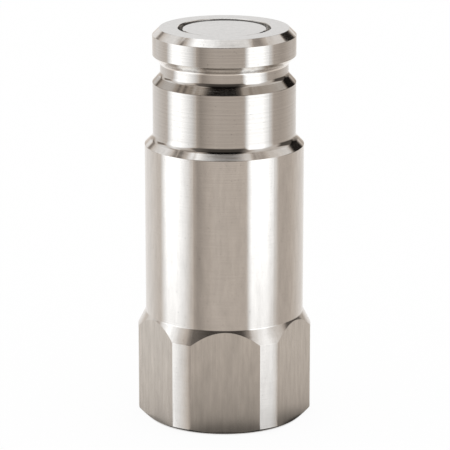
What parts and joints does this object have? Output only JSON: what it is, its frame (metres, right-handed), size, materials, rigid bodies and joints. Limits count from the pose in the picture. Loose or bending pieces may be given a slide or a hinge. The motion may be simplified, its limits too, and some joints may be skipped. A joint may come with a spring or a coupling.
{
  "type": "hydraulic quick coupler nipple",
  "caption": "Flush-face hydraulic quick coupler nipple: stainless body with hexagon port end, plain barrel, nose with latch groove and a spring-loaded flat-faced poppet valve.",
  "frame": {"origin": "centre of the flat port face, on the part's axis", "axes": "+Z along the axis from the port face to the nose; one hexagon flat faces -Y, and hexagon corners lie on the X axis"},
  "size_m": [0.03, 0.0276, 0.0682],
  "materials": {
    "body_steel": "fine turned stainless steel",
    "poppet_steel": "finely faced stainless steel",
    "seal_rubber": "smooth black nitrile",
    "backup_plastic": "waxy white fluoropolymer",
    "guide_steel": "turned and milled stainless steel",
    "spring_steel": "drawn stainless wire",
    "ring_steel": "dark phosphated spring steel"
  },
  "bodies": {
    "housing": {"nipple_body": "body_steel", "valve_guide": "guide_steel", "retaining_ring": "ring_steel", "valve_spring": "spring_steel"},
    "valve": {"valve_poppet": "poppet_steel", "poppet_o_ring": "seal_rubber", "poppet_backup_ring": "backup_plastic"}
  },
  "joints": [
    {"name": "poppet_slide", "type": "slide", "parent": "housing", "child": "valve", "axis": [0, 0, -1], "range_m": [0, 0.01], "stiffness_N_per_m": 4800, "springref_m": -0.004, "deforming": ["valve_spring"]}
  ]
}
